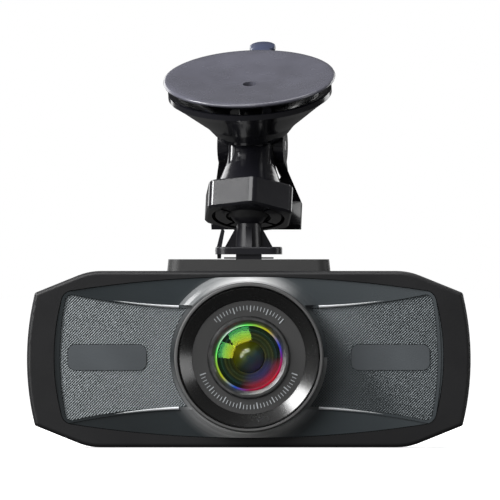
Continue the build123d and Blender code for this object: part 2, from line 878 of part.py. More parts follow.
def foot_and_stud():
    """Slide foot with its T-rail, a finned stem and the ball on top."""
    plate = Pos(0, mount_y, foot_bottom) * extrude(RectangleRounded(foot_w, foot_l, foot_r), foot_top - foot_bottom)
    edge = plate.edges().group_by(Axis.Z)
    plate = fillet(edge[-1], 0.4)
    y = (mount_y - flange_l / 2, mount_y + flange_l / 2)
    plate += block((-web_w / 2, web_w / 2), y, (flange_top - flange_t, foot_bottom))
    plate += block((-flange_w / 2, flange_w / 2), y, (flange_top - flange_t, flange_top))
    plate += block((-flange_w / 2, flange_w / 2), y, (shoe_bottom, shoe_bottom + shoe_t))
    length = ball_z - foot_top
    core = Pos(0, mount_y, foot_top + length * 0.5) * Cone(3.4, stem_neck_r, length)
    fin_top = foot_top + 5.4
    for turn in (0, 90):
        fin = Plane.XZ * make_face(Polyline(
            (-fin_base_r, foot_top), (fin_base_r, foot_top), (stem_neck_r, fin_top), (-stem_neck_r, fin_top),
            close=True))
        fin = extrude(fin, fin_t / 2, both=True)
        core += Pos(0, mount_y, 0) * Rot(0, 0, turn) * fin
    body = plate + core + Pos(0, mount_y, ball_z) * Sphere(ball_r)
    body -= block((latch_x - 1.7, latch_x + 1.3), (mount_y - latch_w / 2 - 0.25, mount_y + latch_w / 2 + 0.25),
                  (foot_bottom - 1, foot_top + 1))
    body -= latch_rod(latch_pin_r)
    return body


def latch_rod(r):
    """Bar along the latch's pivot."""
    z = (foot_bottom + foot_top) / 2
    return rod_y(r, mount_y - latch_w / 2 - 1.4, mount_y + latch_w / 2 + 1.4, latch_x, z)


def release_latch():
    """Upright finger tab with a tooth below, pivoted in the foot's left end."""
    z = (foot_bottom + foot_top) / 2
    profile = make_face(Polyline(
        (latch_x - 0.45, deck + 0.15), (latch_x + 0.45, deck + 0.15), (latch_x + 0.6, z),
        (latch_x + 0.62, foot_top), (latch_x + 1.35, latch_top - 0.6), (latch_x + 1.0, latch_top),
        (latch_x + 0.5, latch_top - 0.2), (latch_x - 0.6, foot_top), (latch_x - 0.6, z), close=True))
    body = slab(profile, mount_y - latch_w / 2, mount_y + latch_w / 2)
    body += rod_y(1.0, mount_y - latch_w / 2, mount_y + latch_w / 2, latch_x, z)
    return body - latch_rod(latch_pin_r + pin_fit)


# ---------------------------------------------------------------- ball clamp
stem_bottom = pivot_u - stem_travel - pin_r - 0.1 - stem_end_t


def ball_liner_inner():
    """Thin liner round the ball, level with the stem."""
    r = ball_r + ball_film
    return ball_frame * shell_zone(r, r + liner_t, 62, 140)


def ball_liner_outer():
    """Second liner, tilted with the neck."""
    r = ball_r + 2 * ball_film + liner_t
    return neck_frame * shell_zone(r, r + liner_t, mouth_angle + 4, 150)


def neck_housing():
    """Clamp, neck, knuckle and suction bowl in one moulding."""
    lip_r = socket_r + 0.05
    mouth_h = -lip_r * cos(radians(mouth_angle))
    mouth_w = lip_r * sin(radians(mouth_angle))
    grip = turned([
        (0, mouth_h),
        (mouth_w + 0.2, mouth_h),
        (collet_r - 0.8, mouth_h),
        (collet_r, mouth_h + 0.8),
        (collet_r, neck_shoulder),
        (8.2, neck_shoulder + 0.6),
        (7.3, neck_shoulder + 2.8),
        (6.4, neck_shoulder + 5.4),
        (5.8, neck_shoulder + 8.4),
        (5.5, neck_shoulder + 10.5),
        (0, neck_shoulder + 10.5),
    ])
    column_l = elbow - neck_shoulder - 3
    column = Pos(0, 0, neck_shoulder + 3) * extrude(
        RectangleRounded(neck_w, neck_l, 2.0), column_l)
    neck = grip + column
    neck -= Sphere(socket_r)
    for turn in range(4):
        neck -= Rot(0, 0, 45 + 90 * turn) * Pos(0, 10, 0) * Box(1.0, 20, 2 * abs(mouth_h) + 5)
    knuckle = rod_x(knuckle_r, -neck_w / 2, neck_w / 2, 0, pivot_u)
    outer = [
        (0, bowl_back - 3.6),
        (8.3, bowl_back - 3.6),
        (housing_r * 0.462, bowl_back - 2.6),
        (housing_r * 0.55, bowl_back - 0.4),
        (housing_r * 0.717, housing_rim - 5.9),
        (housing_r * 0.894, housing_rim - 2.9),
        (housing_r, housing_rim - 1.3),
        (housing_r, housing_rim),
        (housing_r - 0.8, housing_rim),
        (housing_r - 2.2, housing_rim - 0.4),
        (housing_r * 0.835, housing_rim - 2.1),
        (housing_r * 0.668, housing_rim - 4.6),
        (housing_r * 0.5, bowl_back + 1.2),
        (hub_r - 0.1, bowl_back),
        (0, bowl_back),
    ]
    cup = turned(outer) + knuckle + Cylinder(7.0, 3.0)
    hub = Pos(0, 0, bowl_back + 1) * Cylinder(5.2, 3.0)
    body = neck_frame * neck + cup_frame * (cup + hub)
    body -= cup_frame * rod_z(stem_r + pin_fit, stem_bottom - 0.2, bowl_back + 2.8, 0, 0)
    body -= cup_frame * rod_x(pin_r + pin_fit, -2 * neck_w, 2 * neck_w, 0, pivot_u)
    near = neck_w / 2
    far = near + 2 * ear_gap + ear_t
    for span in ((-far, -near), (near, far)):
        body -= cup_frame * rod_x(ear_r + 0.3, *span, 0, pivot_u)
    return body


def lock_nut():
    """Hexagonal clamp nut with rounded corners, round opening below."""
    corner_r = nut_flats / 2 / cos(radians(30))
    hexagon = Rot(0, 0, 30 + nut_phase) * RegularPolygon(corner_r, 6)
    hexagon = fillet(hexagon.vertices(), nut_edge_r)
    body = Pos(0, 0, nut_bottom) * extrude(hexagon, nut_top - nut_bottom)
    rims = body.edges().group_by(Axis.Z)
    body = chamfer(rims[0] + rims[-1], 0.5)
    hole = Pos(0, 0, (nut_top + nut_bottom) / 2) * Cylinder(collet_r + nut_fit, 20)
    return neck_frame * (body - hole)


# -------------------------------------------------------------- suction head
def lever():
    """Clamp lever: two ears on the pivot, arms down behind the nut, wide paddle."""
    inner = neck_w / 2 + ear_gap
    outer = inner + ear_t
    pivot = (neck_frame.inverse() * pivot_frame).position
    back = nut_flats / 2 / cos(radians(30)) + 0.6
    side = Polyline(
        (pivot.Y + ear_r * 0.9, pivot.Z + ear_r * 0.4),
        (pivot.Y + ear_r * 0.7, pivot.Z - ear_r * 0.6),
        (back - 0.4, nut_top + 5.6),
        (back + paddle_t, nut_top + 2.4),
        (back + paddle_t + 0.3, -0.8),
        (back + 1.3, -1.2),
        (back + 0.2, -0.2),
        (back, nut_top + 1.4),
        (back - 2.4, nut_top + 3.4),
        (pivot.Y - ear_r * 0.2, pivot.Z - ear_r * 0.95),
        (pivot.Y - ear_r * 0.9, pivot.Z - ear_r * 0.4),
        (pivot.Y - ear_r * 0.6, pivot.Z + ear_r * 0.7),
        close=True)
    profile = make_face(Plane.YZ * side) + Plane.YZ * Pos(pivot.Y, pivot.Z) * Circle(ear_r)
    blank = extrude(profile, paddle_half_w, both=True)
    top = pivot.Z + ear_r + 2
    low = nut_top + 4.6
    front = Plane.XZ * make_face(Polyline(
        (-outer, top), (outer, top), (outer, pivot.Z - ear_r), (paddle_half_w, nut_top + 1.5),
        (paddle_half_w, -3), (-paddle_half_w, -3), (-paddle_half_w, nut_top + 1.5),
        (-outer, pivot.Z - ear_r), close=True))
    blank &= extrude(front, 40, both=True)
    fork = Plane.XZ * make_face(Polyline(
        (-inner, top + 1), (inner, top + 1), (inner, pivot.Z - ear_r), (inner + 1.2, low + 1.0),
        (inner, low), (-inner, low), (-inner - 1.2, low + 1.0), (-inner, pivot.Z - ear_r), close=True))
    blank -= extrude(fork, 40, both=True)
    body = neck_frame * blank
    return body - cup_frame * rod_x(pin_r + pin_fit, -2 * outer, 2 * outer, 0, pivot_u)


def lever_pin():
    """Pivot pin through the lever's ears and the knuckle."""
    half = neck_w / 2 + ear_gap + ear_t
    return cup_frame * rod_x(pin_r, -half, half, 0, pivot_u)


def suction_stem():
    """Pull stem in the cup's middle, slotted for the lever's pin, with a wide head."""
    body = turned([
        (0, stem_bottom),
        (stem_r, stem_bottom),
        (stem_r, pad_seat - 3.2),
        (hub_r, pad_seat - 2.6),
        (hub_r, pad_seat - 1.6),
        (4.2, pad_seat - 1.0),
        (4.2, pad_seat),
        (0, pad_seat),
    ])
    low = pivot_u - stem_travel
    slot = rod_x(pin_r + 0.1, -5, 5, 0, pivot_u)
    slot += rod_x(pin_r + 0.1, -5, 5, 0, low)
    slot += block((-5, 5), (-pin_r - 0.1, pin_r + 0.1), (low, pivot_u))
    return cup_frame * (body - slot)


def suction_pad():
    """Soft round pad with a dished face, a pull tab and a small centre hole."""
    rim = pad_rim
    centre = rim - pad_dish
    profile = [
        (pad_hole_r, centre - 0.2),
        (7.0, centre + 0.1),
        (pad_r * 0.654, rim - 0.9),
        (pad_r - 2.6, rim - 0.15),
        (pad_r - 2.0, rim),
        (pad_r - 0.3, rim),
        (pad_r, rim - 0.3),
        (pad_r, rim - pad_edge_t),
        (pad_r - 2.4, rim - pad_edge_t - 0.5),
        (pad_r - 3.4, rim - 2.6),
        (hub_r + 0.7, pad_seat - 1.2),
        (hub_r + 0.7, pad_seat),
        (pad_hole_r, pad_seat),
    ]
    pad = turned(profile)
    z = rim - 0.9
    root = pad_r - 2
    head = tab_reach - 3
    tab = Pos(0, (root + head) / 2, z) * Box(tab_neck_w, head - root, tab_t)
    tab += Pos(0, tab_reach - tab_head_w / 2, z) * Cylinder(tab_head_w / 2, tab_t)
    return cup_frame * (pad + tab)


# -------------------------------------------------------------------- export
save(front_shell(), "front_shell")
save(rear_shell(), "rear_shell")
save(fascia_panel(), "fascia_panel")
for word, side in (("left", -1), ("right", 1)):
    save(wing_inlay(side), "wing_inlay_" + word)
    save(badge(side), "badge_" + word)
save(lens_bezel(), "lens_bezel")
save(lens_dish(), "lens_dish")
save(lens_scale_ring(), "lens_scale_ring")
save(lens_lock_ring(), "lens_lock_ring")
save(lens_barrel(), "lens_barrel")
save(front_lens(), "front_lens")
save(inner_lens(), "inner_lens")
save(rear_lens(), "rear_lens")
save(lens_holder(), "lens_holder")
save(image_sensor(), "image_sensor")
save(ir_filter(), "ir_filter")
save(sensor_board(), "sensor_board")
save(board_connector(), "board_connector")
save(main_board(), "main_board")
save(case_screws(), "case_screws")
save(board_screws(), "board_screws")
save(processor(), "processor")
save(memory_chips(), "memory_chips")
save(power_coils(), "power_coils")
save(memory_cell(), "clock_cell")
save(battery(), "battery")
save(usb_port(), "usb_port")
save(hdmi_port(), "hdmi_port")
save(card_socket(), "card_socket")
save(speaker(), "speaker")
save(microphone(), "microphone")
save(screen_module(), "screen_module")
save(screen_bracket(), "screen_bracket")
save(screen_pane(), "screen_pane")
save(screen_ribbon(), "screen_ribbon")
save(key_boards(), "key_boards")
save(key_switches(), "key_switches")
save(status_lights(), "status_lights")
key_names = ("key_menu", "key_up", "key_down", "key_power", "key_ok", "key_mode")
for name, place in zip(key_names, key_places()):
    save(key(place), name)
save(mount_plinth(), "mount_plinth")
save(plinth_screws(), "plinth_screws")
save(foot_and_stud(), "ball_stud")
save(release_latch(), "release_latch")
save(latch_rod(latch_pin_r), "latch_pin")
save(ball_liner_inner(), "ball_liner_inner")
save(ball_liner_outer(), "ball_liner_outer")
save(neck_housing(), "neck_housing")
save(lock_nut(), "lock_nut")
save(lever(), "lever")
save(lever_pin(), "lever_pin")
save(suction_stem(), "suction_stem")
save(suction_pad(), "suction_pad")
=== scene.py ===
import json
import math

import bmesh
import bpy
from mathutils import Matrix, Vector
from mathutils.bvhtree import BVHTree


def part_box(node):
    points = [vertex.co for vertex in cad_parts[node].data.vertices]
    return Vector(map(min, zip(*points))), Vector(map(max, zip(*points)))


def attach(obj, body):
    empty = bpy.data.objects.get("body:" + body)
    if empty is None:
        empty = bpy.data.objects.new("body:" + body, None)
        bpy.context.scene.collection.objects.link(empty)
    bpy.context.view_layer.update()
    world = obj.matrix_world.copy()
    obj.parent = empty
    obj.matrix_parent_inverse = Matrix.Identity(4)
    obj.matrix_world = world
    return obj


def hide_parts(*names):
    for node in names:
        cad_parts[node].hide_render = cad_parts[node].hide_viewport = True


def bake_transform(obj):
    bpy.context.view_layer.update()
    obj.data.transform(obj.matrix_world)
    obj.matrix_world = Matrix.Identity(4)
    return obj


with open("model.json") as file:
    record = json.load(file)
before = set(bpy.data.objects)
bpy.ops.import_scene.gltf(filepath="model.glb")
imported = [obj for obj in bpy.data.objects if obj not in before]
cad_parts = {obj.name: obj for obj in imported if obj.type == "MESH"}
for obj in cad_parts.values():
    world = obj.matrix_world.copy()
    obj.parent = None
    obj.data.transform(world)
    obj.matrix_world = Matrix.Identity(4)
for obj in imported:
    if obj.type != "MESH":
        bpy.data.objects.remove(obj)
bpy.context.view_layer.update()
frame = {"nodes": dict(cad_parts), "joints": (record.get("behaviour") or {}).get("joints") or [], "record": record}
record = frame["record"]
nodes = frame["nodes"]
MM = 0.001
slot_of = {row["node"]: row["material_slot"] for row in record["subparts"]}
joint = {row["name"]: row for row in frame["joints"]}
mount = {row["name"]: row for row in record["mounts"]}


# ------------------------------------------------------------ places, from the frame
def middle(node):
    """Middle of a CAD node's box."""
    low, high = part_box(node)
    return (low + high) / 2


lens_centre = middle("lens_bezel")
bezel_r = (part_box("lens_bezel")[1].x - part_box("lens_bezel")[0].x) / 2
flare_r = bezel_r + 3.0 * MM  # foot of the sloping flare that the front panel forms round the lens
lens_axis = Matrix.Translation((0, 0, lens_centre.z)) @ Matrix.Rotation(math.radians(90), 4, "X")
cup_axis = Vector(joint["stem_pull"]["axis"]).normalized()
cup_side = Vector(joint["lever_turn"]["axis"]).normalized()
pivot = Vector(joint["lever_turn"]["pos_m"])


def basis(origin, x, z):
    """Matrix whose X and Z run along x and z, at origin."""
    turn = Matrix((x, z.cross(x), z)).transposed().to_4x4()
    return Matrix.Translation(origin) @ turn


cup = basis(pivot, cup_side, cup_axis)
# height of the pad's rim along the cup's axis
rim_u = (Vector(mount["suction_face"]["pos_m"]) - pivot).dot(cup_axis)


# ------------------------------------------------------------------------- materials
class Nodes:
    """Small helper that builds one node material."""

    def __init__(self, name):
        self.material = bpy.data.materials.new(name)
        self.material.use_nodes = True
        self.tree = self.material.node_tree
        self.shader = self.tree.nodes["Principled BSDF"]
        self.coords = self.tree.nodes.new("ShaderNodeTexCoord").outputs["Object"]

    def add(self, kind, **values):
        node = self.tree.nodes.new(kind)
        for key, value in values.items():
            setattr(node, key, value)
        return node

    def link(self, a, b):
        self.tree.links.new(a, b)

    def noise(self, scale, detail=3.0, roughness=0.55, stretch=None):
        node = self.add("ShaderNodeTexNoise")
        node.inputs["Scale"].default_value = scale
        node.inputs["Detail"].default_value = detail
        node.inputs["Roughness"].default_value = roughness
        if stretch:
            mapping = self.add("ShaderNodeMapping")
            mapping.inputs["Scale"].default_value = stretch
            self.link(self.coords, mapping.inputs["Vector"])
            self.link(mapping.outputs["Vector"], node.inputs["Vector"])
        else:
            self.link(self.coords, node.inputs["Vector"])
        return node.outputs["Fac"]

    def ramp(self, fac, *stops):
        node = self.add("ShaderNodeValToRGB")
        ramp = node.color_ramp
        while len(ramp.elements) < len(stops):
            ramp.elements.new(0.5)
        for element, (place, colour) in zip(ramp.elements, stops):
            element.position = place
            element.color = (*colour, 1.0)
        self.link(fac, node.inputs["Fac"])
        return node.outputs["Color"]

    def span(self, fac, low, high, from_low=0.0, from_high=1.0):
        node = self.add("ShaderNodeMapRange")
        node.inputs["From Min"].default_value = from_low
        node.inputs["From Max"].default_value = from_high
        node.inputs["To Min"].default_value = low
        node.inputs["To Max"].default_value = high
        self.link(fac, node.inputs["Value"])
        return node.outputs["Result"]

    def axis(self, direction, low, high):
        """0 to 1 along a direction of the row frame, between two heights in metres."""
        dot = self.add("ShaderNodeVectorMath", operation="DOT_PRODUCT")
        dot.inputs[1].default_value = direction
        self.link(self.coords, dot.inputs[0])
        return self.span(dot.outputs["Value"], 0.0, 1.0, low, high)

    def polar(self):
        """Distance from the lens axis, and turn about it from 0 to 1 starting at the right."""
        split = self.add("ShaderNodeSeparateXYZ")
        self.link(self.coords, split.inputs[0])
        drop = self.add("ShaderNodeMath", operation="SUBTRACT")
        self.link(split.outputs["Z"], drop.inputs[0])
        drop.inputs[1].default_value = lens_centre.z
        flat = self.add("ShaderNodeCombineXYZ")
        self.link(split.outputs["X"], flat.inputs["X"])
        self.link(drop.outputs[0], flat.inputs["Y"])
        length = self.add("ShaderNodeVectorMath", operation="LENGTH")
        self.link(flat.outputs[0], length.inputs[0])
        turn = self.add("ShaderNodeMath", operation="ARCTAN2")
        self.link(drop.outputs[0], turn.inputs[0])
        self.link(split.outputs["X"], turn.inputs[1])
        whole = self.add("ShaderNodeMath", operation="MULTIPLY_ADD")
        whole.inputs[1].default_value = 0.5 / math.pi
        whole.inputs[2].default_value = 1.0
        self.link(turn.outputs[0], whole.inputs[0])
        wrap = self.add("ShaderNodeMath", operation="FRACT")
        self.link(whole.outputs[0], wrap.inputs[0])
        return length.outputs["Value"], wrap.outputs[0]

    def mix(self, a, b, factor):
        node = self.add("ShaderNodeMix", data_type="RGBA")
        self.link(factor, node.inputs[0])
        self.link(a, node.inputs[6])
        self.link(b, node.inputs[7])
        return node.outputs[2]

    def bump(self, height, distance, strength=1.0):
        node = self.add("ShaderNodeBump")
        node.inputs["Distance"].default_value = distance
        node.inputs["Strength"].default_value = strength
        self.link(height, node.inputs["Height"])
        self.link(node.outputs["Normal"], self.shader.inputs["Normal"])

    def put(self, **sockets):
        for key, value in sockets.items():
            self.shader.inputs[key.replace("_", " ")].default_value = value


def shade(colour, factor):
    """Colour made lighter or darker."""
    return tuple(min(1.0, c * factor) for c in colour)


def grey(value):
    """Neutral colour."""
    return (value, value, value)


def moulded(name, colour, rough, grain=0.9, depth=0.012, drift=0.12, **extra):
    """Injection-moulded plastic: slow colour drift, fine spark-erosion grain, uneven gloss."""
    n = Nodes(name)
    slow = n.noise(45.0, 2.0)
    n.link(n.ramp(slow, (0.3, shade(colour, 1 - drift)), (0.7, shade(colour, 1 + drift))),
           n.shader.inputs["Base Color"])
    fine = n.noise(1000.0 / grain, 4.0, 0.6)
    n.link(n.span(n.noise(160.0, 3.0), rough * 0.86, rough * 1.14), n.shader.inputs["Roughness"])
    n.bump(fine, depth * MM, 0.8)
    n.put(**extra)
    return n.material


def metal(name, colour, rough, direction=(1, 1, 1), scale=700.0):
    """Plated or brushed metal with streaks and small stains."""
    n = Nodes(name)
    streak = n.noise(scale, 3.0, 0.6, stretch=direction)
    n.link(n.ramp(streak, (0.3, shade(colour, 0.82)), (0.7, shade(colour, 1.1))),
           n.shader.inputs["Base Color"])
    n.link(n.span(streak, rough * 0.8, rough * 1.25), n.shader.inputs["Roughness"])
    n.bump(streak, 0.004 * MM, 0.5)
    n.put(Metallic=1.0)
    return n.material


def panel_finish():
    """Satin slate lacquer, lighter to the upper right as a painted highlight, with a silvery painted highlight on
    the lens's flare.
    """
    n = Nodes("panel_lacquer")
    # painted highlight: the lacquer grows lighter towards the upper right
    across = n.axis((0.8, 0, 0.6), -0.02, 0.065)
    cloudy = n.add("ShaderNodeMath", operation="MULTIPLY_ADD")
    cloudy.inputs[1].default_value = 0.16
    n.link(n.noise(25.0, 2.0), cloudy.inputs[0])
    n.link(across, cloudy.inputs[2])
    slate = n.ramp(cloudy.outputs[0], (0.05, (0.016, 0.02, 0.022)), (0.5, (0.032, 0.041, 0.046)),
                   (1.0, (0.075, 0.086, 0.093)))
    # painted highlight: a silvery glow on the flare round the lens, strongest above and below it
    radius, angle = n.polar()
    band = n.ramp(n.span(radius, 0.0, 1.0, bezel_r, flare_r + 1.2 * MM), (0.0, grey(0.9)),
                  (0.18, grey(1)), (0.5, grey(0.4)), (0.8, grey(0.08)), (1.0, grey(0)))
    highlight_above_and_below = n.ramp(angle, (0.0, grey(0)), (0.14, grey(0.05)), (0.25, grey(1)), (0.36, grey(0.15)),
                     (0.5, grey(0.02)), (0.62, grey(0.3)), (0.75, grey(1)), (0.88, grey(0.25)))
    painted_highlight_mask = n.add("ShaderNodeMath", operation="MULTIPLY")
    n.link(band, painted_highlight_mask.inputs[0])
    n.link(highlight_above_and_below, painted_highlight_mask.inputs[1])
    painted_highlight_mix = n.add("ShaderNodeMix", data_type="RGBA")
    n.link(painted_highlight_mask.outputs[0], painted_highlight_mix.inputs[0])
    n.link(slate, painted_highlight_mix.inputs[6])
    painted_highlight_mix.inputs[7].default_value = (0.8, 0.8, 0.8, 1)
    n.link(painted_highlight_mix.outputs[2], n.shader.inputs["Base Color"])
    n.link(n.span(n.noise(200.0, 3.0), 0.3, 0.38), n.shader.inputs["Roughness"])
    n.bump(n.noise(2600.0, 3.0), 0.004 * MM, 0.6)
    n.put(Coat_Weight=0.25, Coat_Roughness=0.22)
    return n.material


def barrel_finish():
    """Black stepped barrel with painted coloured reflections of the coated glass on it, which glow a little."""
    n = Nodes("barrel_painted_reflections")
    radius, angle = n.polar()
    black = grey(0.001)
    # painted reflection: faint olive and teal rings on the black barrel
    rings = n.ramp(n.span(radius, 0.0, 1.0, 3.6 * MM, 8.6 * MM),
                   (0.0, black), (0.1, (0.05, 0.055, 0.01)), (0.15, black),
                   (0.26, (0.03, 0.05, 0.02)), (0.31, black), (0.42, (0.07, 0.07, 0.02)),
                   (0.47, black), (0.58, (0.015, 0.04, 0.045)), (0.63, black),
                   (0.8, grey(0.012)), (1.0, black))
    # painted reflection: colours by turn about the axis, near the glass's rim
    painted_reflection_hue = n.ramp(angle, (0.0, (0.03, 0.2, 0.6)), (0.1, (0.5, 0.5, 0.05)), (0.2, (0.7, 0.65, 0.2)),
                 (0.36, (0.45, 0.75, 0.4)), (0.5, (0.35, 0.5, 0.06)), (0.62, (0.04, 0.15, 0.5)),
                 (0.75, (0.05, 0.08, 0.1)), (0.88, (0.75, 0.03, 0.1)), (1.0, (0.1, 0.1, 0.5)))
    edge = n.ramp(n.span(radius, 0.0, 1.0, 7.2 * MM, 8.8 * MM), (0.0, grey(0)), (0.45, grey(0)),
                  (0.62, grey(1)), (0.8, grey(0.3)), (1.0, grey(0)))
    # painted reflection: red and purple arcs in the lower right
    painted_red_arc = n.ramp(n.span(radius, 0.0, 1.0, 3.6 * MM, 7.8 * MM), (0.0, (0.006, 0.008, 0.05)),
                 (0.3, (0.02, 0.015, 0.13)), (0.5, (0.07, 0.01, 0.1)), (0.7, (0.4, 0.004, 0.04)),
                 (0.9, (0.35, 0.0, 0.015)), (1.0, (0.08, 0, 0)))
    painted_reflection_lower_right = n.ramp(angle, (0.7, grey(0)), (0.78, grey(0.7)), (0.87, grey(1)),
                         (0.95, grey(0.6)), (1.0, grey(0)))
    colour = n.mix(n.mix(rings, painted_reflection_hue, edge), painted_red_arc, painted_reflection_lower_right)
    n.link(colour, n.shader.inputs["Base Color"])
    n.link(colour, n.shader.inputs["Emission Color"])
    n.link(n.span(n.noise(400.0, 2.0), 0.25, 0.35), n.shader.inputs["Roughness"])
    # the painted reflections also glow, though the barrel is no lamp
    n.put(Emission_Strength=0.35)
    return n.material


def glass(name, tint, rough=0.0, ior=1.52):
    """Tinted clear plastic or glass."""
    n = Nodes(name)
    n.link(n.ramp(n.noise(60.0, 1.0), (0.3, shade(tint, 0.97)), (0.7, tint)),
           n.shader.inputs["Base Color"])
    n.put(Transmission_Weight=1.0, Roughness=rough, IOR=ior)
    return n.material


def front_glass_finish():
    """Clear front element whose coating reflects yellow near the middle, green towards the rim."""
    n = Nodes("front_glass")
    n.link(n.ramp(n.noise(60.0, 1.0), (0.3, (0.9, 0.92, 0.92)), (0.7, (0.95, 0.97, 0.96))),
           n.shader.inputs["Base Color"])
    radius, _ = n.polar()
    n.link(n.ramp(n.span(radius, 0.0, 1.0, 3.5 * MM, 7.8 * MM), (0.0, (1.0, 0.8, 0.03)),
                  (0.45, (0.5, 1.0, 0.06)), (1.0, (0.03, 1.0, 0.3))),
           n.shader.inputs["Specular Tint"])
    n.put(Transmission_Weight=1.0, Roughness=0.0, IOR=1.62, Specular_IOR_Level=1.0)
    return n.material


def rim_finish():
    """Rainbow edge of the front glass: a painted reflection of its coating, which glows a little."""
    n = Nodes("glass_rim")
    _, angle = n.polar()
    # painted reflection: rainbow colours by turn about the lens axis
    painted_reflection_hue = n.ramp(angle, (0.0, (0.25, 0.03, 0.3)), (0.06, (0.02, 0.06, 0.6)),
                 (0.15, (0.6, 0.5, 0.02)), (0.26, (0.1, 0.7, 0.1)),
                 (0.36, (0.4, 0.5, 0.45)), (0.47, (0.08, 0.6, 0.1)),
                 (0.6, (0.5, 0.55, 0.02)), (0.68, (0.02, 0.1, 0.55)), (0.76, (0.35, 0.01, 0.05)),
                 (0.9, (0.75, 0.01, 0.03)), (1.0, (0.4, 0.02, 0.2)))
    n.link(painted_reflection_hue, n.shader.inputs["Base Color"])
    n.link(painted_reflection_hue, n.shader.inputs["Emission Color"])
    n.link(n.span(n.noise(500.0), 0.12, 0.2), n.shader.inputs["Roughness"])
    # the painted reflection also glows, though the rim is no lamp
    n.put(Emission_Strength=0.35, Metallic=0.3)
    return n.material


def dome_finish():
    """Deep-coloured inner element with a painted reflection of its coating: lighter olive to the upper left, navy
    to the lower right.
    """
    n = Nodes("dome_painted_reflection")
    reach = 3.5 * MM
    # painted reflection: lighter olive to the upper left, dark navy to the lower right
    across = n.axis((0.7, 0, -0.7), -0.7 * lens_centre.z - reach, -0.7 * lens_centre.z + reach)
    n.link(n.ramp(across, (0.0, (0.55, 0.5, 0.015)), (0.35, (0.16, 0.22, 0.02)),
                  (0.6, (0.012, 0.09, 0.12)), (1.0, (0.01, 0.03, 0.16))),
           n.shader.inputs["Base Color"])
    n.link(n.span(n.noise(300.0), 0.16, 0.22), n.shader.inputs["Roughness"])
    n.put(Coat_Weight=1.0, Coat_Roughness=0.06, Metallic=0.15)
    return n.material


def pad_finish():
    """Tinted soft vinyl: cloudy, slightly wavy, glossy."""
    n = Nodes("pad_vinyl")
    n.link(n.ramp(n.noise(70.0, 3.0), (0.3, (0.085, 0.085, 0.105)), (0.7, (0.12, 0.12, 0.15))),
           n.shader.inputs["Base Color"])
    n.link(n.span(n.noise(260.0, 3.0), 0.2, 0.32), n.shader.inputs["Roughness"])
    n.bump(n.noise(90.0, 2.0), 0.12 * MM, 0.5)
    n.put(Coat_Weight=0.5, Coat_Roughness=0.12)
    return n.material


def weave_finish():
    """Light threads of the wings' weave, paler on the left wing as a painted highlight, with uneven gloss."""
    n = Nodes("weave_threads")
    # painted highlight: the threads are paler towards the left
    painted_light_leftward = n.axis((-1, 0, 0), -0.05, 0.05)
    n.link(n.ramp(painted_light_leftward, (0.0, (0.09, 0.105, 0.113)), (1.0, (0.155, 0.172, 0.18))),
           n.shader.inputs["Base Color"])
    n.link(n.span(n.noise(900.0), 0.32, 0.5), n.shader.inputs["Roughness"])
    n.bump(n.noise(4000.0), 0.005 * MM, 0.5)
    n.put(Metallic=0.35)
    return n.material


def bead_finish():
    """Satin silver painted as a highlight line, that fades towards the ends of the case."""
    n = Nodes("bead_satin")
    split = n.add("ShaderNodeSeparateXYZ")
    n.link(n.coords, split.inputs[0])
    aside = n.add("ShaderNodeMath", operation="ABSOLUTE")
    n.link(split.outputs["X"], aside.inputs[0])
    # painted highlight: bright near the lens, darker towards the ends of the case
    n.link(n.ramp(n.span(aside.outputs[0], 0.0, 1.0, 17 * MM, 43 * MM), (0.0, (0.8, 0.82, 0.84)),
                  (0.4, (0.6, 0.62, 0.63)), (1.0, (0.22, 0.23, 0.235))),
           n.shader.inputs["Base Color"])
    n.link(n.span(n.noise(300.0), 0.25, 0.4), n.shader.inputs["Roughness"])
    n.put(Metallic=0.3)
    return n.material


def board_finish():
    """Green solder mask with faint copper runs below it."""
    n = Nodes("solder_mask")
    brick = n.add("ShaderNodeTexBrick")
    brick.inputs["Scale"].default_value = 260.0
    brick.inputs["Mortar Size"].default_value = 0.05
    brick.inputs["Color1"].default_value = (0.008, 0.07, 0.03, 1)
    brick.inputs["Color2"].default_value = (0.01, 0.09, 0.035, 1)
    brick.inputs["Mortar"].default_value = (0.03, 0.16, 0.06, 1)
    n.link(n.coords, brick.inputs["Vector"])
    n.link(brick.outputs["Color"], n.shader.inputs["Base Color"])
    n.link(n.span(n.noise(300.0), 0.3, 0.45), n.shader.inputs["Roughness"])
    return n.material


